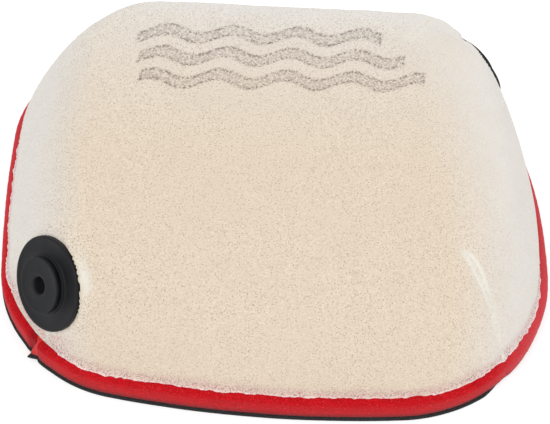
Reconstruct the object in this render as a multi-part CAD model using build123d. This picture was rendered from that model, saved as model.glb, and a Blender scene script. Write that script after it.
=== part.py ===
from build123d import *
from math import cos, radians, sin, sqrt
import os

# Dual-stage foam air filter for an off-road motorcycle, millimetres.
# +X is the filter's right, +Y its rear, +Z away from the air box. The flat seal rests on Z = 0.

# Heights of the layers, from the air box up
SEAL_THICKNESS = 3.0
FLANGE_THICKNESS = 12.0
BOND_THICKNESS = 0.6
TOP_HEIGHT = 65.5

# Foam thicknesses, and how far the dome's foot stands in from the flange's edge
OUTER_FOAM = 8.0
INNER_FOAM = 7.0
FOOT_STEP = 4.0
FLANGE_WIDTH = 26.0

# Outlines: corner points before rounding, each corner's radius, and the large radius that each side
# is bowed to. Order: front left, front right, rear right (two ends of its chamfer), rear left, left
# end of the front-left chamfer. Side n runs from corner n to the next one.
BASE_CORNERS = [(-99, -100), (123.4, -99), (126.4, 65), (89, 110.5), (-138, 107), (-130, -61)]
BASE_RADII = [66, 80, 55, 55, 65, 66]
TOP_CORNERS = [(-70, -77), (96, -76), (98, 76), (81, 97), (-92, 94), (-88, -62)]
TOP_RADII = [30, 75, 28, 28, 30, 30]
SIDE_RADII = [560, 240, 5000, 5000, 750, 5000]

# The wall from foot to top fold is a superellipse, lofted through sections at these angles
WALL_EXPONENT = 1.45
WALL_ANGLES = [0, 18, 36, 54, 72, 90]
FOOT_INSET_RATIO = 1.15
TOP_INSET_RATIO = 0.6

# Corner darts: where each glued cut starts at the dome's foot and ends on the top
DARTS = {
    "front_right": ((113, -84), (87, -53)),
    "front_left": ((-101, -88), (-82, -73.6)),
    "rear_left": ((-128, 98), (-96, 68)),
    "rear_right": ((85, 105), (64, 77)),
}
DART_GLUE = 1.2
DART_PROUD = 0.8

# Grommets: centre of the flange disc's outer face, and its outward normal
GROMMETS = {
    "front": ((-103, -71.6, 44), (-0.67, -0.56, 0.49)),
    "rear": ((100, 84.5, 43.5), (0.68, 0.67, 0.30)),
}
DISC_RADIUS = 22.6
DISC_THICKNESS = 2.6
COLLAR_RADIUS = 14.6
COLLAR_HEIGHT = 1.6
HEAD_RADIUS = 13.3
HEAD_HEIGHT = 2.6
STEM_RADIUS = 7.0
BORE_RADIUS = 4.1
WASHER_RADIUS = 18.0
WASHER_THICKNESS = 2.5
CLAMPED_FOAM = 9.0
LIP_RADIUS = 8.4
LIP_HEIGHT = 1.6
POCKET_CLEARANCE = 0.6
POCKET_FLARE = 7.0

# Scarf joints of the flange strips: a point on the joint, and its direction from +X
FLANGE_JOINTS = {"left": ((-103, -79), 20), "right": ((105, -70), -50)}
JOINT_GLUE = 0.8

FOOT_Z = SEAL_THICKNESS + FLANGE_THICKNESS + BOND_THICKNESS
FAR = 80.0


def inset_corners(corners, distance):
    """Move every side of the corner polygon inward by the distance."""
    points = [Vector(*corner) for corner in corners]
    count = len(points)
    lines = []
    for start, end in zip(points, points[1:] + points[:1]):
        along = (end - start).normalized()
        lines.append((start + Vector(-along.Y, along.X) * distance, along))
    moved = []
    for i in range(count):
        (a, a_dir), (b, b_dir) = lines[i - 1], lines[i]
        gap = b - a
        reach = (gap.X * b_dir.Y - gap.Y * b_dir.X) / (a_dir.X * b_dir.Y - a_dir.Y * b_dir.X)
        moved.append(a + a_dir * reach)
    return moved


def side_circle(start, end, radius):
    """Centre and radius of the arc that joins two corners and bows outward between them."""
    half = (end - start).length / 2
    along = (end - start).normalized()
    inward = Vector(-along.Y, along.X)
    return (start + end) / 2 + inward * sqrt(radius**2 - half**2), radius


def corner_centre(corner, circle_a, circle_b, radius):
    """Centre of the corner arc, which touches both side arcs from inside."""
    (centre_a, radius_a), (centre_b, radius_b) = circle_a, circle_b
    reach_a, reach_b = radius_a - radius, radius_b - radius
    gap = (centre_b - centre_a).length
    along = (centre_b - centre_a) / gap
    step = (reach_a**2 - reach_b**2 + gap**2) / (2 * gap)
    rise = sqrt(reach_a**2 - step**2)
    across = Vector(-along.Y, along.X) * rise
    foot = centre_a + along * step
    return min((foot + across, foot - across), key=lambda centre: (centre - corner).length)


def arc(centre, start, end):
    """Short arc about a centre, from one point to another."""
    radius = (start - centre).length
    middle = centre + ((start + end) / 2 - centre).normalized() * radius
    return ThreePointArc(start, middle, end)


def outline(corners, radii, inset, z):
    """Closed wire at height z: bowed sides joined by tangent corner arcs."""
    count = len(corners)
    circles = []
    for i in range(count):
        circles.append(side_circle(corners[i], corners[(i + 1) % count], SIDE_RADII[i] - inset))
    touches = []
    centres = []
    for i in range(count):
        centre = corner_centre(corners[i], circles[i - 1], circles[i], radii[i])
        ends = [centre + (centre - side[0]).normalized() * radii[i] for side in (circles[i - 1], circles[i])]
        centres.append(centre)
        touches.append(ends)
    edges = []
    for i in range(count):
        following = (i + 1) % count
        edges.append(arc(centres[i], touches[i][0], touches[i][1]))
        edges.append(arc(circles[i][0], touches[i][1], touches[following][0]))
    return Wire(edges).moved(Location((0, 0, z)))


def blend(base, top, level):
    return [a * (1 - level) + b * level for a, b in zip(base, top)]


def base_outline(inset, z):
    radii = [radius - inset for radius in BASE_RADII]
    return outline(inset_corners(BASE_CORNERS, inset), radii, inset, z)


def dome(depth):
    """Solid under the surface that lies this deep in the foam, from the foot to the top."""
    foot_corners = inset_corners(BASE_CORNERS, FOOT_STEP + depth * FOOT_INSET_RATIO)
    top_corners = inset_corners(TOP_CORNERS, depth * TOP_INSET_RATIO)
    foot_radii = [radius - FOOT_STEP - depth * FOOT_INSET_RATIO for radius in BASE_RADII]
    top_radii = [radius - depth * TOP_INSET_RATIO for radius in TOP_RADII]
    sections = []
    for angle in WALL_ANGLES:
        level = 1 - max(cos(radians(angle)), 0) ** (2 / WALL_EXPONENT)
        rise = sin(radians(angle)) ** (2 / WALL_EXPONENT)
        z = FOOT_Z + (TOP_HEIGHT - depth - FOOT_Z) * rise
        corners = blend(foot_corners, top_corners, level)
        radii = blend(foot_radii, top_radii, level)
        sections.append(outline(corners, radii, depth, z))
    return Solid.make_loft(sections)


def ring(outer_inset, inner_inset, z, height):
    """Flat ring that follows the base outline between two insets."""
    outer = extrude(Face(base_outline(outer_inset, z)), height)
    inner = extrude(Face(base_outline(inner_inset, z)), height)
    return outer - inner


def dart_slab(foot, tip):
    """Upright slab where the foam is cut and glued, from outside the foot to the dart's tip."""
    outward = (Vector(*foot) - Vector(*tip)).normalized()
    start = Vector(*foot) + outward * FAR / 4
    length = (start - Vector(*tip)).length
    middle = (start + Vector(*tip)) / 2
    place = Plane(origin=(middle.X, middle.Y, FAR / 2), x_dir=(outward.X, outward.Y, 0))
    return place.location * Box(length, DART_GLUE, FAR)


def joint_slab(point, angle):
    """Upright slab through the flange where two strips are glued end to end."""
    return Pos(*point, 0) * Rot(0, 0, angle) * Box(FAR, JOINT_GLUE, FAR)


def on_grommet(name, shape):
    """Place a shape that was made about +Z on the grommet's axis."""
    centre, normal = GROMMETS[name]
    return Plane(origin=centre, z_dir=normal).location * shape


def cylinder(radius, low, high):
    return Pos(0, 0, low) * Cylinder(radius, high - low, align=(Align.CENTER, Align.CENTER, Align.MIN))


def grommet_disc():
    """Outer flange disc with the raised collar that the bush's head sits on."""
    plate = fillet(cylinder(DISC_RADIUS, -DISC_THICKNESS, 0).edges().group_by(Axis.Z)[-1], 0.8)
    return plate + cylinder(COLLAR_RADIUS, 0, COLLAR_HEIGHT) - cylinder(STEM_RADIUS, -FAR, FAR)


def grommet_bush():
    """Headed bush: the head, the stem through the foam, the snap lip and the bore."""
    head = cylinder(HEAD_RADIUS, COLLAR_HEIGHT, COLLAR_HEIGHT + HEAD_HEIGHT)
    head = fillet(head.edges().group_by(Axis.Z)[-1], 0.6)
    washer_back = -DISC_THICKNESS - CLAMPED_FOAM - WASHER_THICKNESS
    stem = cylinder(STEM_RADIUS, washer_back, COLLAR_HEIGHT)
    lip = cylinder(LIP_RADIUS, washer_back - LIP_HEIGHT, washer_back)
    return head + stem + lip - cylinder(BORE_RADIUS, -FAR, FAR)


def grommet_washer():
    """Inner backing washer that clamps the foam against the disc."""
    front = -DISC_THICKNESS - CLAMPED_FOAM
    washer = cylinder(WASHER_RADIUS, front - WASHER_THICKNESS, front)
    washer = fillet(washer.edges().group_by(Axis.Z)[0], 0.7)
    return washer - cylinder(STEM_RADIUS, -FAR, FAR)


def grommet_space():
    """What a grommet takes out of the foam: a flared seat outside, the stem, and the washer's seat."""
    seat_radius = DISC_RADIUS + POCKET_CLEARANCE
    flare = Cone(seat_radius, seat_radius + POCKET_FLARE, FAR / 8, align=(Align.CENTER, Align.CENTER, Align.MIN))
    seat = cylinder(seat_radius, -DISC_THICKNESS, 0) + flare
    inside = cylinder(WASHER_RADIUS + POCKET_CLEARANCE, -FAR / 4, -DISC_THICKNESS - CLAMPED_FOAM)
    return seat + cylinder(STEM_RADIUS, -FAR / 4, 0) + inside


def split_strips(layer):
    """Cut a base layer at both scarf joints, and give its front and rear strips."""
    for point, angle in FLANGE_JOINTS.values():
        layer = layer - joint_slab(point, angle)
    strips = sorted(layer.solids(), key=lambda solid: solid.center().Y)
    return strips[0], strips[-1]


def joint_glue(name, layers):
    """Glue line of one scarf joint, as thick as the seal and the flange together."""
    glue = layers & joint_slab(*FLANGE_JOINTS[name])
    return max(glue.solids(), key=lambda solid: solid.center().X * (1 if name == "right" else -1))


def build():
    nodes = {}
    seal = ring(0, FLANGE_WIDTH, 0, SEAL_THICKNESS)
    flange = ring(0, FLANGE_WIDTH, SEAL_THICKNESS, FLANGE_THICKNESS)
    nodes["base_seal_front"], nodes["base_seal_rear"] = split_strips(seal)
    nodes["base_flange_front"], nodes["base_flange_rear"] = split_strips(flange)
    for name in FLANGE_JOINTS:
        nodes["flange_joint_" + name] = joint_glue(name, seal + flange)

    wall_foot = FOOT_STEP + (OUTER_FOAM + INNER_FOAM) * FOOT_INSET_RATIO
    nodes["flange_bond"] = ring(FOOT_STEP, wall_foot, FOOT_Z - BOND_THICKNESS, BOND_THICKNESS)

    glue_outside = dome(-DART_PROUD)
    outside = dome(0)
    between = dome(OUTER_FOAM)
    inside = dome(OUTER_FOAM + INNER_FOAM)
    glue_inside = dome(OUTER_FOAM + INNER_FOAM + DART_PROUD)
    outer_foam = outside - between
    inner_foam = between - inside
    spaces = [on_grommet(name, grommet_space()) for name in GROMMETS]
    for space in spaces:
        outer_foam = outer_foam - space
        inner_foam = inner_foam - space
    for name, (foot, tip) in DARTS.items():
        slab = dart_slab(foot, tip)
        outer_seam = (glue_outside - between) & slab
        inner_seam = (between - glue_inside) & slab
        for space in spaces:
            outer_seam = outer_seam - space
            inner_seam = inner_seam - space
        nodes["outer_seam_" + name] = outer_seam
        nodes["inner_seam_" + name] = inner_seam
        outer_foam = outer_foam - slab
        inner_foam = inner_foam - slab
    nodes["outer_foam"] = outer_foam
    nodes["inner_foam"] = inner_foam

    for name in GROMMETS:
        nodes[name + "_grommet_disc"] = on_grommet(name, grommet_disc())
        nodes[name + "_grommet_bush"] = on_grommet(name, grommet_bush())
        nodes[name + "_grommet_washer"] = on_grommet(name, grommet_washer())
    return nodes


os.makedirs("parts", exist_ok=True)
for node, shape in build().items():
    export_step(shape, f"parts/{node}.step")
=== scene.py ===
from math import cos, pi, radians, sin

import bpy
import numpy as np
from mathutils import Euler, Matrix, Vector, noise
from mathutils.bvhtree import BVHTree


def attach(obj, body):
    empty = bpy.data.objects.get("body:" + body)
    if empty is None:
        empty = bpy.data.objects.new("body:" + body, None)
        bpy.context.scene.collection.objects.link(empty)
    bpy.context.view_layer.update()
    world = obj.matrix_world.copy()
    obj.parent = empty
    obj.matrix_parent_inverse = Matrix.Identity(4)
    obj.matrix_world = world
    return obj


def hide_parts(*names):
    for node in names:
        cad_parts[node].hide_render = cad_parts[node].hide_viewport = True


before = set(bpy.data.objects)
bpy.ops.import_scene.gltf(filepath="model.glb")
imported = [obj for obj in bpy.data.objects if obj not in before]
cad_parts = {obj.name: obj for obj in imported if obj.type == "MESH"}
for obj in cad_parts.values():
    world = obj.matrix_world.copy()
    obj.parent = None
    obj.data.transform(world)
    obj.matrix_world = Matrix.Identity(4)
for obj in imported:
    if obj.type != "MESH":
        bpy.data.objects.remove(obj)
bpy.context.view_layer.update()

# ---------------------------------------------------------------- driving dimensions, millimetres
MM = 0.001
SEAL_TOP = 3.0
FLANGE_TOP = 15.0
FOOT_Z = 15.6
TOP_HEIGHT = 65.5
OUTER_FOAM = 8.0
INNER_FOAM = 7.0
FOOT_STEP = 4.0
FLANGE_WIDTH = 26.0
SHOULDER = 3.0
CROWN = 0.8

# Corner points of the outlines before rounding, their radii, and the radius each side is bowed to.
# Order: front left, front right, two ends of the rear-right chamfer, rear left, front-left chamfer.
BASE_CORNERS = np.array(
    [(-99, -100), (123.4, -99), (126.4, 65), (89, 110.5), (-138, 107), (-130, -61)], float)
BASE_RADII = np.array([66, 80, 55, 55, 65, 66], float)
TOP_CORNERS = np.array([(-70, -77), (96, -76), (98, 76), (81, 97), (-92, 94), (-88, -62)], float)
TOP_RADII = np.array([30, 75, 28, 28, 30, 30], float)
SIDE_RADII = np.array([560, 240, 5000, 5000, 750, 5000], float)

WALL_EXPONENT = 1.45
FOOT_INSET_RATIO = 1.15
TOP_INSET_RATIO = 0.6
WALL_RUN = 35.0

# Corner darts: where each glued cut starts at the dome's foot and ends on the top
DARTS = {
    "front_right": ((113, -84), (87, -53)),
    "front_left": ((-101, -88), (-82, -73.6)),
    "rear_left": ((-128, 98), (-96, 68)),
    "rear_right": ((85, 105), (64, 77)),
}

# Grommets: centre of the flange disc's outer face, and its outward normal
GROMMETS = {
    "front": ((-103, -71.6, 44), (-0.67, -0.56, 0.49)),
    "rear": ((100, 84.5, 43.5), (0.68, 0.67, 0.30)),
}
# Direction round each disc, degrees up from level, in which the foam swells most over its rim
LIP_MIDDLE = {"front": 48, "rear": 55}
DISC_RADIUS = 22.6
BORE_RADIUS = 4.1
STEM_RADIUS = 7.0
STEM_FIT = 7.05
DISC_BACK = -2.6
WASHER_FRONT = -11.6
WASHER_BACK = -14.1
LIP_BACK = -15.7

# Scarf joints of the flange strips, as points near the outline
LEFT_JOINT = (-112.4, -83.4)
RIGHT_JOINT = (116.4, -83.6)

# Camera, degrees and millimetres
CAMERA_AZIMUTH = -0.2
CAMERA_ELEVATION = 53.2
CAMERA_DISTANCE = 683.6
CAMERA_ROLL = 3.5
CAMERA_TARGET = (1.06, -8.05, 25)
CAMERA_LENS = 89.1


# ---------------------------------------------------------------- outlines and dome surfaces
def inset_corners(corners, distance):
    """Move every side of the corner polygon inward by the distance."""
    along = np.roll(corners, -1, axis=0) - corners
    along /= np.linalg.norm(along, axis=1)[:, None]
    starts = corners + np.column_stack([-along[:, 1], along[:, 0]]) * distance
    moved = []
    for i in range(len(corners)):
        a, u = starts[i - 1], along[i - 1]
        b, v = starts[i], along[i]
        gap = b - a
        reach = (gap[0] * v[1] - gap[1] * v[0]) / (u[0] * v[1] - u[1] * v[0])
        moved.append(a + u * reach)
    return np.array(moved)


def side_circle(start, end, radius):
    half = np.linalg.norm(end - start) / 2
    along = (end - start) / (2 * half)
    inward = np.array([-along[1], along[0]])
    return (start + end) / 2 + inward * np.sqrt(radius**2 - half**2), radius


def corner_centre(corner, circle_a, circle_b, radius):
    """Centre of the corner arc, which touches both side arcs from inside."""
    (centre_a, radius_a), (centre_b, radius_b) = circle_a, circle_b
    reach_a, reach_b = radius_a - radius, radius_b - radius
    gap = np.linalg.norm(centre_b - centre_a)
    along = (centre_b - centre_a) / gap
    step = (reach_a**2 - reach_b**2 + gap**2) / (2 * gap)
    across = np.array([-along[1], along[0]]) * np.sqrt(reach_a**2 - step**2)
    foot = centre_a + along * step
    return min((foot + across, foot - across), key=lambda c: np.linalg.norm(c - corner))


def arc_points(centre, start, end, count):
    a, b = start - centre, end - centre
    first = np.arctan2(a[1], a[0])
    turn = (np.arctan2(b[1], b[0]) - first + pi) % (2 * pi) - pi
    angle = first + turn * np.arange(count) / count
    return centre + np.linalg.norm(a) * np.column_stack([np.cos(angle), np.sin(angle)])


ARC_POINTS = 48
# The four places that split an outline into quarters: front-right corner, rear-right chamfer,
# rear-left corner and front-left chamfer, each at the middle of its arc
QUARTERS = [int((half_arc + 0.5) * ARC_POINTS) for half_arc in (2, 5, 8, 11)]


def outline(corners, radii, inset, count):
    """Points round an outline, anticlockwise from the front-right corner, even in each quarter."""
    sides = [side_circle(corners[i], corners[(i + 1) % 6], SIDE_RADII[i] - inset) for i in range(6)]
    centres = [corner_centre(corners[i], sides[i - 1], sides[i], radii[i]) for i in range(6)]
    touches = []
    for i in range(6):
        pair = []
        for side in (sides[i - 1], sides[i]):
            out = centres[i] - side[0]
            pair.append(centres[i] + out / np.linalg.norm(out) * radii[i])
        touches.append(pair)
    dense = []
    for i in range(6):
        dense.append(arc_points(centres[i], touches[i][0], touches[i][1], ARC_POINTS))
        dense.append(arc_points(sides[i][0], touches[i][1], touches[(i + 1) % 6][0], ARC_POINTS))
    dense = np.roll(np.vstack(dense), -QUARTERS[0], axis=0)
    closed = np.vstack([dense, dense[:1]])
    run = np.concatenate([[0], np.cumsum(np.linalg.norm(np.diff(closed, axis=0), axis=1))])
    stops = [run[q - QUARTERS[0]] for q in QUARTERS] + [run[-1]]
    where = [np.linspace(a, b, count // 4, endpoint=False) for a, b in zip(stops, stops[1:])]
    where = np.concatenate(where)
    return np.column_stack([np.interp(where, run, closed[:, 0]), np.interp(where, run, closed[:, 1])])


def ring_at(points, z):
    return np.column_stack([points, np.broadcast_to(z, len(points))])


def base_ring(inset, z, count):
    return ring_at(outline(inset_corners(BASE_CORNERS, inset), BASE_RADII - inset, inset, count), z)


def dome_ring(depth, level, rise, count):
    """One ring of the surface this deep in the foam. level runs inward and rise upward, both 0 to 1."""
    foot_inset = FOOT_STEP + depth * FOOT_INSET_RATIO
    top_inset = depth * TOP_INSET_RATIO
    foot = inset_corners(BASE_CORNERS, foot_inset)
    top = inset_corners(TOP_CORNERS, top_inset)
    radii = (BASE_RADII - foot_inset) * (1 - level) + (TOP_RADII - top_inset) * level
    z = FOOT_Z + (TOP_HEIGHT - depth - FOOT_Z) * rise
    return ring_at(outline(foot * (1 - level) + top * level, radii, depth, count), z)


def wall_rings(depth, rows, count):
    """Rings from the foot to the top fold, evenly spaced along the wall's profile."""
    theta = np.linspace(0, pi / 2, 600)
    level = 1 - np.clip(np.cos(theta), 0, 1) ** (2 / WALL_EXPONENT)
    rise = np.sin(theta) ** (2 / WALL_EXPONENT)
    step = np.hypot(np.diff(level) * WALL_RUN, np.diff(rise) * (TOP_HEIGHT - FOOT_Z))
    run = np.concatenate([[0], np.cumsum(step)])
    where = np.linspace(0, run[-1], rows + 1)
    pairs = zip(np.interp(where, run, level), np.interp(where, run, rise))
    return [dome_ring(depth, a, b, count) for a, b in pairs]


def outward(points):
    """Unit outward direction in plan at each point of a closed ring."""
    along = np.roll(points, -1, axis=0) - np.roll(points, 1, axis=0)
    along /= np.linalg.norm(along[:, :2], axis=1)[:, None]
    return np.column_stack([along[:, 1], -along[:, 0], np.zeros(len(points))])


# ---------------------------------------------------------------- mesh building
class Builder:
    """Collects vertices and faces of one closed mesh, in millimetres."""

    def __init__(self):
        self.points = []
        self.faces = []
        self.total = 0

    def add(self, points):
        points = np.asarray(points, float).reshape(-1, 3)
        first = self.total
        self.points.append(points)
        self.total += len(points)
        return np.arange(first, self.total)

    def bridge(self, low, high, flip=False):
        """Quads between two closed rows of the same count."""
        low, high = np.append(low, low[0]), np.append(high, high[0])
        quads = np.column_stack([low[:-1], low[1:], high[1:], high[:-1]])
        self.faces.extend((quads[:, ::-1] if flip else quads).tolist())

    def climb(self, index, rings, flip=False):
        """Add rings one after another, each joined to the one before, and return the last."""
        for ring in rings:
            following = self.add(ring)
            self.bridge(index, following, flip)
            index = following
        return index

    def sweep(self, rows, flip=False):
        """Skin over a run of closed rows, with a face at both ends."""
        previous = self.add(rows[0])
        self.faces.append((previous if flip else previous[::-1]).tolist())
        previous = self.climb(previous, rows[1:], flip)
        self.faces.append((previous[::-1] if flip else previous).tolist())

    def halve(self, fine, coarse, flip):
        """Triangles between a closed ring and one with half as many points."""
        count = len(coarse)
        for i in range(count):
            a, b, c = fine[2 * i], fine[2 * i + 1], fine[(2 * i + 2) % len(fine)]
            d, e = coarse[i], coarse[(i + 1) % count]
            for face in ((a, b, d), (b, e, d), (b, c, e)):
                self.faces.append([int(v) for v in (face[::-1] if flip else face)])

    def cap(self, ring, points, crown=0.0, flip=False):
        """Close a ring of 8 x K points with a grid of concentric rings."""
        size = len(ring) // 8
        centre = points.mean(axis=0)
        grid = np.zeros((2 * size + 1, 2 * size + 1), int)
        for k in range(size, -1, -1):
            cells = square_cells(k)
            if k == size:
                index = ring
            elif k == 0:
                index = self.add(centre + np.array([0, 0, crown]))
            else:
                share = np.arange(8 * k) / (8 * k) * len(ring)
                low = np.floor(share).astype(int)
                part = (share - low)[:, None]
                edge = points[low] * (1 - part) + points[(low + 1) % len(ring)] * part
                lift = np.array([0, 0, crown * (1 - (k / size) ** 2) ** 2])
                index = self.add(centre + (edge - centre) * (k / size) + lift)
            grid[cells[:, 0] + size, cells[:, 1] + size] = index
        corners = [grid[:-1, :-1], grid[1:, :-1], grid[1:, 1:], grid[:-1, 1:]]
        quads = np.stack(corners, axis=-1).reshape(-1, 4)
        self.faces.extend((quads[:, ::-1] if flip else quads).tolist())

    def piece(self, name):
        """The finished mesh as an object in the scene."""
        mesh = bpy.data.meshes.new(name)
        mesh.from_pydata((np.vstack(self.points) * MM).tolist(), [], self.faces)
        mesh.validate()
        mesh.update()
        mesh.shade_smooth()
        made = bpy.data.objects.new(name, mesh)
        bpy.context.scene.collection.objects.link(made)
        return made


def square_cells(k):
    """Cells of the square ring at distance k from the middle, anticlockwise from (k, -k)."""
    if k == 0:
        return np.array([(0, 0)])
    run = np.arange(-k, k)
    side = np.full(2 * k, k)
    sides = ((side, run), (-run, side), (-side, -run), (run, -side))
    return np.vstack([np.column_stack(pair) for pair in sides])


def coordinates(piece):
    co = np.zeros(len(piece.data.vertices) * 3, np.float32)
    piece.data.vertices.foreach_get("co", co)
    return co.reshape(-1, 3).astype(float) / MM


def normals(piece):
    out = np.zeros(len(piece.data.vertices) * 3, np.float32)
    piece.data.vertex_normals.foreach_get("vector", out)
    return out.reshape(-1, 3).astype(float)


def move_to(piece, points):
    piece.data.vertices.foreach_set("co", (points * MM).astype(np.float32).ravel())
    piece.data.update()


def mark(piece, name, values):
    """Store one number per vertex, which the materials read."""
    layer = piece.data.attributes.new(name, "FLOAT", "POINT")
    layer.data.foreach_set("value", np.asarray(values, np.float32))


def noise_at(points, size, seed):
    """Smooth noise, about -1 to 1, with features of this size in millimetres."""
    return np.array([noise.noise(p) for p in (points / size + seed).tolist()])


def smooth_step(low, high, value):
    t = np.clip((value - low) / (high - low), 0, 1)
    return t * t * (3 - 2 * t)


def unit(vector):
    return np.array(vector, float) / np.linalg.norm(vector)


# ---------------------------------------------------------------- what shapes the foam
def flange_height(inset):
    """Height of the flange's rounded shoulder and top at a distance in from its edge."""
    reach = np.clip(SHOULDER - inset, 0, SHOULDER)
    return FLANGE_TOP - SHOULDER + np.sqrt(SHOULDER**2 - reach**2)


# How far a dart's cut swings sideways at its foot, and between which distances along it this fades
FOOT_SWING = {"front_right": (3.0, 2.5, 11), "front_left": (-3.9, -0.4, 2.2)}
# Heights between which the front-left dart fades out, because it runs on behind the disc
DART_HIDDEN = (34, 40)
# How strongly the glued cut gathers the foam beside it
GATHER = {"front_right": 1.0, "front_left": 0.8, "rear_left": 0.4, "rear_right": 0.4}


def dart_places(points, corner):
    """Distance from the dart's cut, and how far along it from foot (0) to tip (1), at each point."""
    foot, tip = np.array(DARTS[corner], float)
    length = np.linalg.norm(tip - foot)
    along = (tip - foot) / length
    rel = points[:, :2] - foot
    reach = rel @ along
    off = rel[:, 0] * along[1] - rel[:, 1] * along[0]
    if corner in FOOT_SWING:
        amount, low, high = FOOT_SWING[corner]
        off = off - amount * (1 - smooth_step(low, high, reach))
    return off, reach / length


def dart_shows(corner, z):
    if corner == "front_left":
        return 1 - smooth_step(*DART_HIDDEN, z)
    return 1


def glue_leaf(off, run):
    """Distance from the glue line, which parts into a narrow leaf over the upper half of the dart."""
    half = 1.8 * np.sin(pi * np.clip((run - 0.42) / 0.56, 0, 1))
    return np.abs(np.abs(off) - half)


def pucker(points):
    """Lift along the normal beside each dart: a shallow crease at the glue with soft bulges beside it."""
    lift = np.zeros(len(points))
    for corner in DARTS:
        off, run = dart_places(points, corner)
        fade = smooth_step(-0.4, -0.1, run) * (1 - smooth_step(0.85, 1.15, run))
        fade *= dart_shows(corner, points[:, 2])
        crease = -0.4 * np.exp(-((off / 2.2) ** 2))
        ridge = 0.3 * np.exp(-((glue_leaf(off, run) / 0.8) ** 2)) * smooth_step(0.4, 0.6, run)
        bulge = 0.7 * np.exp(-(((off + 7) / 4.5) ** 2)) + 0.25 * np.exp(-(((off - 7) / 4.5) ** 2))
        lift += GATHER[corner] * fade * (crease + ridge + bulge)
    return lift


def gather_front_left(points):
    """The front-left cut also draws the foam in below the grommet."""
    foot, tip = np.array(DARTS["front_left"], float)
    off, run = dart_places(points, "front_left")
    z = points[:, 2]
    beside = np.where(off > 0, np.exp(-((off / 8) ** 2)), smooth_step(-50, -24, off))
    draw = np.interp(z, (15, 18, 25, 34, 44), (1.8, 2.1, 2.6, 2.6, 0)) * beside
    return points + np.array([*unit(tip - foot), 0]) * (draw * (run < 1.5))[:, None]


def disc_places(points, side):
    """Distance beyond the disc's rim, height above its face, and cosine from the lip's middle."""
    centre, normal = np.array(GROMMETS[side][0], float), unit(GROMMETS[side][1])
    level = unit(np.cross((0, 0, 1), normal))
    steep = np.cross(normal, level)
    rel = points - centre
    height = rel @ normal
    flat = rel - height[:, None] * normal
    radius = np.linalg.norm(flat, axis=1)
    turn = radians(LIP_MIDDLE[side])
    facing = flat @ (level * cos(turn) + steep * sin(turn)) / np.maximum(radius, 1)
    return radius - DISC_RADIUS - 0.25, height, facing


def clamp_foam(points):
    """Press the foam down under each grommet's disc and let it swell up again beyond the rim."""
    for side in GROMMETS:
        beyond, height, facing = disc_places(points, side)
        near = (beyond < 36) & (np.abs(height) < 30)
        rough = 0.25 * noise_at(points, 4.5, 8.0)
        if side == "front":
            # The foam's ragged cut edge stands over the rim on the upper inner side
            facing = smooth_step(0.35, 0.9, facing)
            lip = 1.5 * facing * np.exp(-(((beyond - 1.0) / 2.2) ** 2)) * near
            rough += (0.3 + 0.6 * facing) * noise_at(points, 1.2, 3.0)
            rim = 0.7 + 0.9 * facing
        else:
            lip = 0
            rough += 0.2 * noise_at(points, 1.5, 3.0)
            rim = -1.5 + 3.0 * smooth_step(0.3, 0.9, facing)
        raised = height + lip * smooth_step(-0.2, 0.4, beyond)
        outer = DISC_BACK + (rim - DISC_BACK + rough) * smooth_step(0, 0.8, beyond)
        outer += 0.36 * np.clip(beyond, 0, None)
        ceiling = np.where(beyond < 0, DISC_BACK - 0.15, outer)
        soft = np.where(beyond < 1, 0.05, 1.2)
        over = raised - ceiling
        settled = raised - 0.5 * (over + np.sqrt(over**2 + soft**2))
        floor = DISC_BACK - 0.25 - 0.55 * np.clip(beyond, 0, None)
        short = floor - settled
        settled += 0.5 * (short + np.sqrt(short**2 + 0.6**2)) * (1 - smooth_step(4, 9, beyond))
        points = points + unit(GROMMETS[side][1]) * ((settled - height) * near)[:, None]
    # Beside a disc the foam swells hardly above the flat top
    above = points[:, 2] - TOP_HEIGHT - 1.2
    points[:, 2] -= 0.6 * np.where(above > 0, above, 0)
    return points


def skin_noise(points, lump, cell):
    """Uneven foam surface: broad unevenness, then lumps, then the open cells."""
    broad = 0.45 * noise_at(points, 45, 1.0) + 0.22 * noise_at(points, 14, 5.0)
    return broad * lump + cell * (noise_at(points, 2.6, 2.0) + 0.9 * noise_at(points, 1.3, 7.0))


# ---------------------------------------------------------------- foam shells
def coarse_side(build, ring, fine_count, depth, count, rows, flip, halvings):
    """Carry on from a fine ring at the foot to a coarser wall and cap on the hidden side."""
    index = ring
    for step in halvings:
        fine_count //= 2
        low = build.add(base_ring(step, FOOT_Z, fine_count))
        build.halve(index, low, flip)
        index = low
    rings = wall_rings(depth, rows, count)
    build.cap(build.climb(index, rings, flip), rings[-1], flip=flip)


OUTER_COUNT = 768
OUTER_ROWS = 62


def torn_reach():
    """How far the skived edge of the outer foam reaches over the flange, round the outline."""
    spots = base_ring(FOOT_STEP, FOOT_Z, OUTER_COUNT)
    reach = 0.95 + 0.75 * noise_at(spots, 24, 4.0) + 0.5 * noise_at(spots, 7, 9.0)
    reach += 0.75 * np.abs(noise_at(spots, 2.4, 6.0)) + 0.45 * noise_at(spots, 1.5, 2.0)
    off, run = dart_places(spots, "front_right")
    reach += 0.8 * np.exp(-((off / 2.0) ** 2)) * (run < 1)
    return np.clip(reach, 0.1, 3.4)


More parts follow.
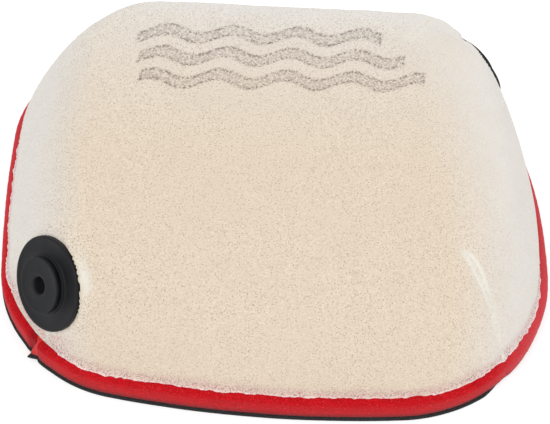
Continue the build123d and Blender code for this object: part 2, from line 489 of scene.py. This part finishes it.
def make_outer_foam():
    build = Builder()
    foot = base_ring(FOOT_STEP, FOOT_Z, OUTER_COUNT)
    out = outward(foot)
    reach = torn_reach()
    rows = []
    for share, lift in ((0.86, 0.02), (1.0, 0.12), (0.93, 0.42), (0.7, 0.75), (0.45, 1.15), (0.22, 1.9)):
        row = foot + out * (reach * share)[:, None]
        row[:, 2] = flange_height(FOOT_STEP - reach * share) + lift
        rows.append(row)
    wall = wall_rings(0, OUTER_ROWS, OUTER_COUNT)
    rows += [ring for ring in wall if ring[0, 2] > FLANGE_TOP + 2.4]
    under = base_ring(FOOT_STEP + 0.5, FOOT_Z - 0.3, OUTER_COUNT)
    first = build.add(under)
    build.cap(build.climb(first, rows), rows[-1], CROWN)
    skin = build.total
    coarse_side(build, first, OUTER_COUNT, OUTER_FOAM, 96, 10, True, (6.5, 8.5, 10.5))
    piece = build.piece("outer_foam_skin")
    points = coordinates(piece)
    out = normals(piece)
    outside = np.arange(len(points)) < skin
    z = points[:, 2]
    height = smooth_step(FLANGE_TOP + 0.6, FLANGE_TOP + 5, z)
    lift = (pucker(points) + skin_noise(points, 1.0, 0.1)) * outside * (0.15 + 0.85 * height)
    moved = points + out * lift[:, None]
    clamped = clamp_foam(gather_front_left(moved))
    moved = np.where(outside[:, None], clamped, moved)
    move_to(piece, moved)
    mark_outer_foam(piece, points, outside)
    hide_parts("outer_foam")
    return piece


# Print on the top: for each wavy stripe its place in y, and its left and right ends in x
STRIPES = ((75, -72, 52), (59.5, -68, 66), (44, -64, 78))
STRIPE_HALF_WIDTH = 4.1
WAVE_HEIGHT = 3.1
WAVE_LENGTH = 33


def print_mask(points):
    """Generic print on the top: three rows of air waves, as a faded stamp."""
    x, y = points[:, 0], points[:, 1]
    lean = x - 0.16 * (y - 58) + 4
    row = y - 0.05 * x
    mask = np.zeros(len(points))
    for middle, low, high in STRIPES:
        wave = WAVE_HEIGHT * np.sin(lean * 2 * pi / WAVE_LENGTH)
        past_end = np.abs(lean - (low + high) / 2) - (high - low) / 2
        rim = np.maximum(np.abs(row - middle - wave) - STRIPE_HALF_WIDTH, past_end)
        shade = 0.5 + 0.5 * smooth_step(-2.2, -1.4, rim)
        mask = np.maximum(mask, (1 - smooth_step(-0.5, 0.6, rim)) * shade)
    return mask * smooth_step(60, 63, points[:, 2])


def mark_outer_foam(piece, points, outside):
    """Store what the cream foam's material reads, each from 0 to about 1.

    halo is the pink tint above the foot, raised also for the painted shadow below the front disc, torn the
    skived edge, glue the smears of adhesive together with a painted highlight beside that disc, ink the
    print, warm the cream of the middle, which gives way to a whiter painted sheen towards the sides and
    back, and crisp how clearly the cells show, less under the painted sheen and more in the painted
    shadow.
    """
    z = points[:, 2]
    halo = (1 - smooth_step(FLANGE_TOP, FLANGE_TOP + 9 + 3 * noise_at(points, 9, 3.0), z)) * outside
    ragged = z + 0.4 * noise_at(points, 1.2, 5.0)
    torn = (1 - smooth_step(FLANGE_TOP + 0.3, FLANGE_TOP + 1.2, ragged)) * outside
    glue = np.zeros(len(points))
    for corner in DARTS:
        off, run = dart_places(points, corner)
        fade = smooth_step(-0.4, -0.1, run) * (1 - smooth_step(0.9, 1.05, run))
        fade *= dart_shows(corner, z)
        line = np.exp(-((glue_leaf(off, run) / 1.1) ** 2))
        wash = 0.35 * np.exp(-((off / 3.0) ** 2)) * smooth_step(0.3, 0.6, run)
        glue = np.maximum(glue, GATHER[corner] * fade * np.maximum(line, wash))
    x, y = points[:, 0], points[:, 1]
    # Painted sheen: the cream gives way to white towards the back, the right and the left, where the light
    # grazes the foam
    cream_vs_painted_sheen = 1 - 0.15 * smooth_step(-15, 20, y) - 0.35 * smooth_step(15, 70, y)
    cream_vs_painted_sheen -= 0.5 * smooth_step(65, 100, y)
    cream_vs_painted_sheen = np.clip(cream_vs_painted_sheen, 0, 1) * (1 - 0.85 * smooth_step(70, 114, x + 0.1 * y))
    cream_vs_painted_sheen *= 1 - 0.85 * smooth_step(-88, -120, x + 0.15 * np.minimum(y, 0))
    crisp = 1 - 0.85 * smooth_step(70, 112, x + 0.27 * y) * smooth_step(-95, -75, y)
    crisp *= 1 - 0.4 * np.maximum(smooth_step(-100, -118, x), smooth_step(84, 98, y))
    beyond, height, facing = disc_places(points, "front")
    round_disc = np.exp(-((np.clip(beyond, 0, None) / 7) ** 2)) * (np.abs(height) < 12)
    crisp += 0.6 * round_disc * smooth_step(-112, -95, x)
    # Painted shadow below the disc: the foam there is darker and pinker, with its cells showing more
    below = np.exp(-((beyond / 8) ** 2)) * (1 - smooth_step(22, 30, z)) * outside
    halo = np.maximum(halo, 0.9 * below)
    cream_vs_painted_sheen = np.maximum(cream_vs_painted_sheen, below)
    crisp = np.maximum(crisp, below)
    # Painted highlight: a whitish spot where the foam bulges beside the disc's rim, carried in the glue
    # mark
    glare = np.exp((facing - 1) / 0.05 - ((beyond - 3.2) / 2.5) ** 2) * (np.abs(height) < 12)
    glue = np.maximum(glue, 0.9 * glare)
    mark(piece, "crisp", crisp * (0.85 + 0.25 * noise_at(points, 30, 6.0)))
    mark(piece, "halo", halo)
    mark(piece, "torn", torn)
    mark(piece, "glue", glue * outside)
    mark(piece, "ink", print_mask(points) * outside)
    mark(piece, "cream_vs_painted_sheen", cream_vs_painted_sheen)


def make_inner_foam():
    """Fine red foam: the fine grid is on the cavity side, which shows from below."""
    build = Builder()
    depth = OUTER_FOAM + INNER_FOAM
    count, rows = 512, 44
    rings = wall_rings(depth, rows, count)
    first = build.add(rings[0])
    build.cap(build.climb(first, rings[1:], flip=True), rings[-1], flip=True)
    skin = build.total
    coarse_side(build, first, count, OUTER_FOAM, 64, 10, False, (19, 17, 15))
    piece = build.piece("inner_foam_skin")
    points = coordinates(piece)
    inside = np.arange(len(points)) < skin
    lift = (0.5 * pucker(points) + skin_noise(points, 0.8, 0.07)) * inside
    lift *= smooth_step(FOOT_Z, FOOT_Z + 4, points[:, 2])
    move_to(piece, points + normals(piece) * lift[:, None])
    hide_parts("inner_foam")
    return piece


# ---------------------------------------------------------------- base strips
def column_near(place, count):
    ring = base_ring(0, 0, count)
    return int(np.argmin(np.hypot(ring[:, 0] - place[0], ring[:, 1] - place[1])))


def strip_columns(start, end, count):
    """Columns from start to end, anticlockwise."""
    span = (end - start) % count
    return [(start + i) % count for i in range(span + 1)]


def flange_section():
    """Cross-section of the red flange as (inset, z), from its lower outer edge round."""
    side = [(0.35 * ((z - 8) / 5) ** 2, z) for z in np.linspace(SEAL_TOP - 0.6, FLANGE_TOP - SHOULDER, 9)]
    start = side[-1][0]
    turn = np.linspace(0, pi / 2, 7)[1:]
    low = FLANGE_TOP - SHOULDER
    shoulder = [(start + (SHOULDER - start) * (1 - cos(a)), low + SHOULDER * sin(a)) for a in turn]
    top = [(inset, FLANGE_TOP) for inset in np.linspace(SHOULDER, FLANGE_WIDTH - 1, 9)[1:]]
    inner = [(FLANGE_WIDTH, z) for z in np.linspace(FLANGE_TOP - 0.8, SEAL_TOP, 7)]
    bottom = [(inset, SEAL_TOP) for inset in np.linspace(FLANGE_WIDTH - 3, 3, 7)]
    return side + shoulder + top + inner + bottom


def seal_section():
    """Cross-section of the black sealing layer."""
    edge = [(0.1, 0.0), (-0.3, 0.3), (-0.5, 0.9), (-0.5, 1.5), (-0.3, 2.1), (0.3, 2.6)]
    top = [(inset, SEAL_TOP) for inset in np.linspace(3, FLANGE_WIDTH - 2, 5)]
    inner = [(FLANGE_WIDTH, SEAL_TOP - 0.4), (FLANGE_WIDTH, 0.4)]
    bottom = [(inset, 0.0) for inset in np.linspace(FLANGE_WIDTH - 0.6, 3, 8)]
    return edge + top + inner + bottom


# Columns round the whole outline, and those by which the rear strip goes on under the flap
STRIP_COUNT = 1024
LAP_COLUMNS = 3
# Length of the flap at the front strip's left end
FLAP = 5.3


def end_moves(part, from_start, from_end, z):
    """How far a strip stands off the outline near its ends: outward, along the strip and up."""
    still = np.zeros_like(z)
    low = 1 - np.clip(z / FLANGE_TOP, 0, 1)
    if part == "front":
        # The last few millimetres at the left joint fold outward as a flat flap over the rear strip
        t = np.clip(1 - from_start / FLAP, 0, 1)
        main = smooth_step(0, 0.6, from_start - FLAP)
        shoulder = SHOULDER * (1 - np.sqrt(1 - np.clip((z - FLANGE_TOP + SHOULDER) / SHOULDER, 0, 1) ** 2))
        out = t * (3.4 * low - 3.7 * (1 - low) + shoulder)
        out += 0.5 * main * (1 - smooth_step(7, 16, from_start))
        along = t * (0.8 * low + 2.8 * (1 - low))
        return out - 0.2 * (1 - smooth_step(0, 4, from_end)), along, (1 - main) * (0.3 + 1.4 * low)
    tuck = 1.2 * (1 - smooth_step(1, 6, from_end))
    notch = 0.2 * (1 - smooth_step(0, 4, from_start))
    proud = 0.35 * smooth_step(1, 5, from_start) * (1 - smooth_step(8, 30, from_start))
    return still + proud - notch - tuck, still, -0.5 * tuck * (1 - low)


def side_moves(part, is_seal, place, from_end):
    """Further outward moves: a slight swell on the right side, where the seal sits further in."""
    x, y = place[:2]
    if part == "rear":
        swell = 0.9 * np.exp(-(((y + 38) / 22) ** 2)) * smooth_step(90, 120, x)
        return swell - is_seal * 2.6 * smooth_step(60, 100, x)
    return -is_seal * 1.9 * (1 - smooth_step(1, 15, from_end))


def strip_tone(part, from_start, from_end):
    """Up to 1 on the flap, which catches the light, and below 0 in the shade beside it."""
    if part == "front":
        return np.clip((FLAP - from_start) / 0.4, -0.25, 1) * (from_start < FLAP + 6)
    return smooth_step(2, 9, from_end) - 1


def make_strip(name, section, part, fuzz, node):
    """One strip of the flange or the seal, swept along the outline from joint to joint."""
    start, end = column_near(RIGHT_JOINT, STRIP_COUNT), column_near(LEFT_JOINT, STRIP_COUNT)
    if part == "front":
        start, end = end, start
    else:
        end += LAP_COLUMNS
    columns = strip_columns(start, end, STRIP_COUNT)
    rings = np.array([base_ring(inset, z, STRIP_COUNT)[columns] for inset, z in section])
    edge = base_ring(0, 0, STRIP_COUNT)
    out = outward(edge)[columns]
    edge = edge[columns]
    run = np.concatenate([[0], np.cumsum(np.linalg.norm(np.diff(edge, axis=0), axis=1))])
    insets = np.array([inset for inset, z in section])
    heights = np.array([z for inset, z in section])
    loose = np.exp(-np.clip(insets, 0, None) / 7)
    is_seal = node.startswith("base_seal")
    tones = []
    rows = []
    for i in range(len(columns)):
        outward_move, along_move, up_move = end_moves(part, run[i], run[-1] - run[i], heights)
        outward_move = outward_move + side_moves(part, is_seal, edge[i], run[-1] - run[i])
        tones.append(np.full(len(section), strip_tone(part, run[i], run[-1] - run[i])))
        along = np.array([-out[i][1], out[i][0], 0])
        move = out[i] * outward_move[:, None] + along * along_move[:, None]
        move += np.array([0, 0, 1]) * up_move[:, None]
        rows.append(rings[:, i] + loose[:, None] * move)
    build = Builder()
    build.sweep(rows, flip=True)
    piece = build.piece(name)
    points = coordinates(piece)
    grain = noise_at(points, 1.5, 1.0) + 0.8 * noise_at(points, 3.4, 6.0)
    lift = 0.25 * noise_at(points, 22, 4.0) + fuzz * grain
    inset = np.tile(insets, len(columns))
    height = np.tile(heights, len(columns))
    free = np.exp(-np.clip(inset, 0, None) / 4) * smooth_step(0, 1.0, height)
    move_to(piece, points + normals(piece) * (lift * free)[:, None])
    mark(piece, "tone", np.concatenate(tones))
    x = points[:, 0]
    # Painted sheen: the red turns lighter towards the right and left sides, where the light grazes
    mark(piece, "pale", smooth_step(104, 132, x) + 0.6 * smooth_step(-126, -137, x))
    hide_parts(node)
    return piece


# Section of the glue in a joint: sideways share and height
JOINT_SECTION = (
    (-1, 0.3), (1, 0.3), (1.2, 5), (0.9, 10), (1, 13.6), (-1, 13.6), (-0.8, 10), (-1.2, 5))


def make_joint_glue(side, place):
    """Glue between two flange strips, held back from the visible edge."""
    ring = base_ring(4.5, 0, STRIP_COUNT)
    inner = base_ring(FLANGE_WIDTH - 0.6, 0, STRIP_COUNT)
    column = column_near(place, STRIP_COUNT)
    a, b = ring[column], inner[column]
    along = unit(b - a)
    side_way = np.array([-along[1], along[0], 0]) * 0.3
    rows = []
    for t in np.linspace(0, 1, 14):
        middle = a + (b - a) * t
        wide = 1 + 0.5 * noise.noise(Vector((t * 9, 2.0, 0.0)))
        rows.append([middle + side_way * wide * s + np.array([0, 0, z]) for s, z in JOINT_SECTION])
    build = Builder()
    build.sweep(rows)
    piece = build.piece("flange_joint_glue_" + side)
    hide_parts("flange_joint_" + side)
    return piece


# ---------------------------------------------------------------- glued dart seams
def seam_path(foam, corner, where):
    """Points on the foam along a dart from foot to tip, its normals, and the dart's sideways."""
    depth = 0 if where == "outer" else OUTER_FOAM + INNER_FOAM
    path = []
    for ring in wall_rings(depth, 60, 768):
        off, run = dart_places(ring, corner)
        ahead = np.roll(off, -1)
        spots = np.flatnonzero((off * ahead <= 0) & (run > -0.8) & (run < 0.97))
        if len(spots):
            i = spots[0]
            part = off[i] / (off[i] - ahead[i])
            path.append(ring[i] * (1 - part) + ring[(i + 1) % len(ring)] * part)
    tip = np.array([*DARTS[corner][1], path[-1][2]])
    path = np.vstack([path, np.linspace(path[-1], tip, 12)[1:]])
    run = np.concatenate([[0], np.cumsum(np.linalg.norm(np.diff(path, axis=0), axis=1))])
    spots = np.arange(0, run[-1], 0.6)
    path = np.column_stack([np.interp(spots, run, path[:, k]) for k in range(3)])
    foot, tip = np.array(DARTS[corner], float)
    inward = np.array([*unit(tip - foot), 0])
    tangent = np.gradient(path, axis=0)
    tangent /= np.linalg.norm(tangent, axis=1)[:, None]
    normal = np.array([0, 0, 1]) * (tangent @ inward)[:, None] - inward * tangent[:, 2:]
    normal /= np.linalg.norm(normal, axis=1)[:, None]
    if where == "inner":
        normal = -normal
    polygons = [tuple(p.vertices) for p in foam.data.polygons]
    tree = BVHTree.FromPolygons(coordinates(foam).tolist(), polygons)
    found = []
    for point, up in zip(path, normal):
        hit = tree.ray_cast(Vector(point + up * 7), Vector(-up), 16)[0]
        found.append(point if hit is None else np.array(hit))
    found = np.array(found)
    if where == "outer" and corner == "front_left":
        # Behind the disc and above it the bead stays under the foam
        found = found - normal * (2.4 * smooth_step(38, 44, found[:, 2]))[:, None]
    return found, normal, np.array([inward[1], -inward[0], 0])


def make_seam(foam, corner, where):
    """Bead of glue that fills a dart: a low rounded ridge with a root in the foam."""
    path, normal, side = seam_path(foam, corner, where)
    turns = np.linspace(0, 2 * pi, 12, endpoint=False)
    rows = []
    for i, (point, up) in enumerate(zip(path, normal)):
        t = i / (len(path) - 1)
        wobble = noise.noise(Vector((i * 0.21, 1.7, 4.0)))
        wobble += 0.6 * noise.noise(Vector((i * 0.7, 3.1, 2.0)))
        ends = min(1, 9 * (1 - t) + 0.08)
        wide = (0.7 + 0.25 * t + 0.2 * wobble) * ends
        high = (0.45 + 0.22 * wobble) * ends
        sway = 0.25 * noise.noise(Vector((i * 0.12, 6.2, 1.0)))
        row = []
        for turn in turns:
            lift = sin(turn) * (high if sin(turn) > 0 else 1.4)
            row.append(point + side * (cos(turn) * wide + sway) + up * (lift - 0.12))
        rows.append(row)
    build = Builder()
    build.sweep(rows)
    piece = build.piece(f"{where}_seam_glue_{corner}")
    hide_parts(f"{where}_seam_{corner}")
    return piece


# ---------------------------------------------------------------- grommets
LATHE_SEGMENTS = 128


def lathe(name, centre, normal, profile):
    """Closed turned part: profile is (radius, height) points round one side of its section."""
    build = Builder()
    angles = np.linspace(0, 2 * pi, LATHE_SEGMENTS, endpoint=False)
    rings = []
    for radius, height in profile:
        level = np.full(LATHE_SEGMENTS, height)
        ring = np.column_stack([radius * np.cos(angles), radius * np.sin(angles), level])
        rings.append(build.add(ring))
    for low, high in zip(rings, rings[1:] + rings[:1]):
        build.bridge(low, high)
    piece = build.piece(name)
    turn = Vector(unit(normal)).to_track_quat("Z", "Y").to_matrix().to_4x4()
    piece.data.transform(Matrix.Translation(Vector(centre) * MM) @ turn)
    return piece


def rounded_corner(centre, radius, start, end, steps):
    """Arc of a section, angles in degrees."""
    return [(centre[0] + radius * cos(radians(a)), centre[1] + radius * sin(radians(a)))
            for a in np.linspace(start, end, steps)]


def make_grommet(side):
    """The disc against the foam, the headed bush through it and the washer behind."""
    centre, normal = GROMMETS[side]
    disc = [(STEM_FIT, DISC_BACK)]
    disc += rounded_corner((DISC_RADIUS - 0.35, DISC_BACK + 0.35), 0.35, -90, 0, 4)
    disc += rounded_corner((DISC_RADIUS - 0.7, -0.7), 0.7, 0, 90, 6)
    disc += [(21.0, 0.0), (20.7, -0.1), (16.2, -0.1), (15.6, 0.0), (15.0, 0.05)]
    disc += [(14.4, 0.3), (14.2, 0.6), (14.2, 1.2)] + rounded_corner((13.9, 1.3), 0.3, 0, 90, 4)
    disc += [(12.2, 1.6), (STEM_FIT, 1.6)]
    plate = lathe(f"{side}_grommet_flange_disc", centre, normal, disc)
    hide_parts(f"{side}_grommet_disc")

    bush = [(BORE_RADIUS, LIP_BACK + 0.4), (4.5, LIP_BACK), (7.8, LIP_BACK), (8.4, LIP_BACK + 0.5)]
    bush += [(8.4, WASHER_BACK - 0.35), (7.8, WASHER_BACK), (STEM_RADIUS, WASHER_BACK)]
    bush += [(STEM_RADIUS, 1.62), (12.3, 1.62), (12.3, 2.05)]
    bush += [(12.75, 2.15), (13.3, 2.3)] + rounded_corner((12.95, 3.85), 0.35, 0, 90, 5)
    bush += [(12.2, 4.16), (11.9, 4.08), (6.2, 4.06), (5.4, 4.12)]
    bush += [(4.75, 4.05), (4.3, 3.85), (BORE_RADIUS, 3.5)]
    head = lathe(f"{side}_grommet_headed_bush", centre, normal, bush)
    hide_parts(f"{side}_grommet_bush")

    back = [(STEM_FIT, WASHER_FRONT), (17.4, WASHER_FRONT), (18.0, WASHER_FRONT - 0.5)]
    back += rounded_corner((17.3, WASHER_BACK + 0.7), 0.7, 0, -90, 5)
    back += [(12.5, WASHER_BACK), (12.1, WASHER_BACK + 0.35), (9.4, WASHER_BACK + 0.35)]
    back += [(9.0, WASHER_BACK), (STEM_FIT, WASHER_BACK)]
    washer = lathe(f"{side}_grommet_backing_washer", centre, normal, back[::-1])
    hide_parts(f"{side}_grommet_washer")
    return [plate, head, washer]


# ---------------------------------------------------------------- materials
class Nodes:
    """Short way to write a node material. Texture coordinates are the object's own, in millimetres."""

    def __init__(self, name):
        self.material = bpy.data.materials.new(name)
        self.material.use_nodes = True
        self.tree = self.material.node_tree
        self.shader = self.tree.nodes["Principled BSDF"]
        place = self.tree.nodes.new("ShaderNodeTexCoord")
        self.place = self.tree.nodes.new("ShaderNodeMapping")
        self.place.inputs["Scale"].default_value = (1000, 1000, 1000)
        self.link(place.outputs["Object"], self.place.inputs["Vector"])

    def link(self, source, target):
        self.tree.links.new(source, target)

    def feed(self, socket, value):
        if isinstance(value, bpy.types.NodeSocket):
            self.link(value, socket)
        else:
            socket.default_value = value

    def noise(self, size, detail, rough):
        node = self.tree.nodes.new("ShaderNodeTexNoise")
        node.inputs["Scale"].default_value = 1 / size
        node.inputs["Detail"].default_value = detail
        node.inputs["Roughness"].default_value = rough
        self.link(self.place.outputs["Vector"], node.inputs["Vector"])
        return node.outputs["Fac"]

    def cells(self, size):
        node = self.tree.nodes.new("ShaderNodeTexVoronoi")
        node.inputs["Scale"].default_value = 1 / size
        self.link(self.place.outputs["Vector"], node.inputs["Vector"])
        return node.outputs["Distance"]

    def ramp(self, value, low, high, out_low=0.0, out_high=1.0):
        node = self.tree.nodes.new("ShaderNodeMapRange")
        node.interpolation_type = "SMOOTHSTEP"
        node.inputs["From Min"].default_value = low
        node.inputs["From Max"].default_value = high
        node.inputs["To Min"].default_value = out_low
        node.inputs["To Max"].default_value = out_high
        self.link(value, node.inputs["Value"])
        return node.outputs["Result"]

    def math(self, kind, a, b):
        node = self.tree.nodes.new("ShaderNodeMath")
        node.operation = kind
        self.feed(node.inputs[0], a)
        self.feed(node.inputs[1], b)
        return node.outputs[0]

    def mix(self, factor, a, b):
        node = self.tree.nodes.new("ShaderNodeMix")
        node.data_type = "RGBA"
        self.feed(node.inputs[0], factor)
        self.feed(node.inputs[6], a)
        self.feed(node.inputs[7], b)
        return node.outputs[2]

    def height(self):
        node = self.tree.nodes.new("ShaderNodeSeparateXYZ")
        self.link(self.place.outputs["Vector"], node.inputs["Vector"])
        return node.outputs["Z"]

    def stored(self, name):
        node = self.tree.nodes.new("ShaderNodeAttribute")
        node.attribute_name = name
        return node.outputs["Fac"]

    def bump(self, height, distance, strength):
        node = self.tree.nodes.new("ShaderNodeBump")
        node.inputs["Distance"].default_value = distance * MM
        node.inputs["Strength"].default_value = strength
        self.link(height, node.inputs["Height"])
        self.link(node.outputs["Normal"], self.shader.inputs["Normal"])

    def set(self, **values):
        for name, value in values.items():
            self.feed(self.shader.inputs[name.replace("_", " ")], value)


def srgb(red, green, blue):
    """Linear colour from 0 to 255 screen values."""
    def linear(c):
        c /= 255
        return c / 12.92 if c <= 0.04045 else ((c + 0.055) / 1.055) ** 2.4
    return (linear(red), linear(green), linear(blue), 1)


def outer_foam_material():
    m = Nodes("cream coarse foam")
    # Cream in the middle, giving way to a whiter painted sheen towards the sides and back
    base = m.mix(m.stored("cream_vs_painted_sheen"), srgb(215, 212, 207), srgb(214, 198, 177))
    crisp = m.stored("crisp")
    cell = m.noise(0.75, 1.5, 0.6)
    patch = m.noise(9, 2, 0.5)
    light = m.math("MULTIPLY", m.ramp(cell, 0.47, 0.33, 0, 0.42), crisp)
    dark = m.math("MULTIPLY", m.ramp(cell, 0.56, 0.67, 0, 0.42), crisp)
    base = m.mix(light, base, srgb(243, 231, 212))
    base = m.mix(dark, base, srgb(156, 136, 120))
    base = m.mix(m.ramp(patch, 0.35, 0.7, 0, 0.1), base, srgb(200, 184, 166))
    pores = m.cells(1.35)
    base = m.mix(m.math("MULTIPLY", m.ramp(pores, 0.23, 0.13, 0, 0.85), crisp), base, srgb(130, 108, 94))
    # Pink tint where the red shows through the thin foam above the foot, together with the painted shadow
    # below the front disc
    base = m.mix(m.math("MULTIPLY", m.stored("halo"), 0.3), base, srgb(214, 176, 172))
    halo = m.math("MULTIPLY", m.stored("halo"), m.ramp(m.noise(0.8, 1.5, 0.6), 0.51, 0.60, 0, 0.8))
    base = m.mix(halo, base, srgb(150, 110, 112))
    blush = m.math("MULTIPLY", m.stored("halo"), m.ramp(m.noise(1.1, 1.0, 0.5), 0.40, 0.32, 0, 0.5))
    base = m.mix(blush, base, srgb(232, 150, 160))
    torn = m.math("MULTIPLY", m.stored("torn"), m.ramp(m.noise(0.7, 1.0, 0.5), 0.35, 0.6, 0.25, 1.0))
    base = m.mix(torn, base, srgb(244, 218, 218))
    stamp = m.math("MULTIPLY", m.stored("ink"), m.ramp(m.noise(1.25, 2.0, 0.7), 0.42, 0.60, 0.08, 0.85))
    base = m.mix(stamp, base, srgb(112, 92, 86))
    # Whitish adhesive along the darts, together with the painted highlight beside the front disc
    base = m.mix(m.math("MULTIPLY", m.stored("glue"), 0.85), base, srgb(226, 224, 214))
    m.set(Base_Color=base, Roughness=0.95, Specular_IOR_Level=0.15, Sheen_Weight=0.2, Sheen_Roughness=0.6)
    height = m.math("ADD", m.math("MULTIPLY", cell, 0.7), m.math("MULTIPLY", pores, 0.5))
    m.bump(height, 0.5, 0.7)
    return m.material


def red_foam_material(name, deep, bright, size):
    m = Nodes(name)
    fibre = m.noise(size, 3.0, 0.65)
    patch = m.noise(7, 2.0, 0.5)
    base = m.mix(m.ramp(fibre, 0.3, 0.7), deep, bright)
    base = m.mix(m.ramp(patch, 0.4, 0.75, 0, 0.3), base, deep)
    fleck = m.ramp(m.noise(0.6, 1.0, 0.5), 0.66, 0.76, 0, 0.35)
    base = m.mix(fleck, base, srgb(238, 120, 120))
    # Painted shade: the red darkens towards the seal at the bottom, where less light reaches
    base = m.mix(m.ramp(m.height(), 8.5, 3, 0, 0.6), base, srgb(104, 26, 28))
    base = m.mix(m.ramp(m.stored("tone"), 0, 1, 0, 0.4), base, srgb(232, 78, 70))
    base = m.mix(m.ramp(m.stored("tone"), 0, -1, 0, 0.4), base, srgb(70, 10, 20))
    # Painted sheen: lighter red towards the right and left sides
    base = m.mix(m.math("MULTIPLY", m.stored("pale"), 0.2), base, srgb(232, 130, 136))
    m.set(Base_Color=base, Roughness=0.95, Specular_IOR_Level=0.08, Sheen_Weight=0.08, Sheen_Roughness=0.5)
    m.bump(m.math("ADD", fibre, m.math("MULTIPLY", m.cells(0.9), 0.5)), 0.45, 0.6)
    return m.material


def seal_material():
    m = Nodes("black sealing foam")
    grain = m.noise(0.7, 3.0, 0.6)
    base = m.mix(m.ramp(grain, 0.35, 0.7), srgb(16, 17, 19), srgb(44, 44, 46))
    m.set(Base_Color=base, Roughness=0.8, Specular_IOR_Level=0.3)
    m.bump(grain, 0.3, 0.5)
    return m.material


def adhesive_material(name, tone):
    m = Nodes(name)
    cloud = m.noise(1.6, 2.0, 0.6)
    base = m.mix(m.ramp(cloud, 0.3, 0.7), tone, srgb(224, 219, 208))
    m.set(Base_Color=base, Roughness=m.ramp(cloud, 0.3, 0.7, 0.45, 0.75), Specular_IOR_Level=0.4)
    m.bump(cloud, 0.3, 0.5)
    return m.material


def plastic_material():
    m = Nodes("moulded black plastic")
    grain = m.noise(0.35, 2.0, 0.6)
    haze = m.noise(12, 3.0, 0.6)
    base = m.mix(m.ramp(haze, 0.35, 0.7), srgb(13, 14, 17), srgb(22, 23, 26))
    dust = m.ramp(m.noise(0.9, 2.0, 0.7), 0.70, 0.78, 0, 0.4)
    base = m.mix(dust, base, srgb(120, 120, 118))
    m.set(Base_Color=base, Roughness=m.ramp(haze, 0.3, 0.7, 0.5, 0.64), Specular_IOR_Level=0.25)
    m.bump(grain, 0.05, 0.35)
    return m.material


def floor_material():
    m = Nodes("pale floor")
    m.set(Base_Color=srgb(205, 205, 205), Roughness=0.9, Specular_IOR_Level=0.1)
    m.set(Emission_Color=(1, 1, 1, 1), Emission_Strength=0.5)
    return m.material


def finish_piece(piece, material):
    piece.data.materials.clear()
    piece.data.materials.append(material)
    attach(piece, "root")


# ---------------------------------------------------------------- stage
def make_stage():
    scene = bpy.context.scene
    bpy.ops.mesh.primitive_plane_add(size=8, location=(0, 0, 0))
    floor = bpy.context.object
    floor.name = "floor"
    floor.data.materials.append(floor_material())

    world = bpy.data.worlds.new("studio")
    world.use_nodes = True
    world.node_tree.nodes["Background"].inputs["Color"].default_value = (1, 1, 1, 1)
    world.node_tree.nodes["Background"].inputs["Strength"].default_value = 0.75
    scene.world = world

    lights = (("key", (-0.35, -0.75, 1.25), 0.9, 7.0), ("fill", (0.9, -0.3, 0.9), 0.9, 3.0),
              ("back", (-0.2, 1.1, 0.9), 0.8, 3.0))
    for name, place, size, power in lights:
        data = bpy.data.lights.new(name, "AREA")
        data.shape = "DISK"
        data.size = size
        data.energy = power
        lamp = bpy.data.objects.new(name, data)
        lamp.location = place
        lamp.rotation_euler = (Vector((0, 0, 0.03)) - Vector(place)).to_track_quat("-Z", "Y").to_euler()
        scene.collection.objects.link(lamp)
    scene.view_settings.view_transform = "Standard"


def make_camera():
    azimuth, elevation = radians(CAMERA_AZIMUTH), radians(CAMERA_ELEVATION)
    back = Vector((sin(azimuth) * cos(elevation), -cos(azimuth) * cos(elevation), sin(elevation)))
    data = bpy.data.cameras.new("camera")
    data.lens = CAMERA_LENS
    data.sensor_width = 36
    camera = bpy.data.objects.new("camera", data)
    aim = (-back).to_track_quat("-Z", "Y")
    roll = Euler((0, 0, radians(CAMERA_ROLL))).to_quaternion()
    camera.rotation_mode = "QUATERNION"
    camera.rotation_quaternion = aim @ roll
    camera.location = (Vector(CAMERA_TARGET) + back * CAMERA_DISTANCE) * MM
    bpy.context.scene.collection.objects.link(camera)
    bpy.context.scene.camera = camera


# ---------------------------------------------------------------- assembly
make_camera()
make_stage()

RED_DOME = red_foam_material("fine red foam", srgb(150, 14, 24), srgb(194, 24, 34), 0.6)
RED_FLANGE = red_foam_material("dense red foam", srgb(164, 10, 20), srgb(204, 20, 30), 0.8)
SEAL = seal_material()
GLUE = adhesive_material("dried adhesive", srgb(206, 200, 188))
PLASTIC = plastic_material()

outer_foam = make_outer_foam()
finish_piece(outer_foam, outer_foam_material())
inner_foam = make_inner_foam()
finish_piece(inner_foam, RED_DOME)

for part in ("front", "rear"):
    flange = make_strip(f"flange_strip_{part}", flange_section(), part, 0.12, f"base_flange_{part}")
    finish_piece(flange, RED_FLANGE)
    seal = make_strip(f"seal_strip_{part}", seal_section(), part, 0.06, f"base_seal_{part}")
    finish_piece(seal, SEAL)

for side, place in (("left", LEFT_JOINT), ("right", RIGHT_JOINT)):
    finish_piece(make_joint_glue(side, place), GLUE)

for corner in DARTS:
    for where in ("outer", "inner"):
        foam = outer_foam if where == "outer" else inner_foam
        finish_piece(make_seam(foam, corner, where), GLUE)

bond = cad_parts["flange_bond"]
for slot in bond.material_slots:
    slot.material = GLUE

for side in GROMMETS:
    for piece in make_grommet(side):
        finish_piece(piece, PLASTIC)
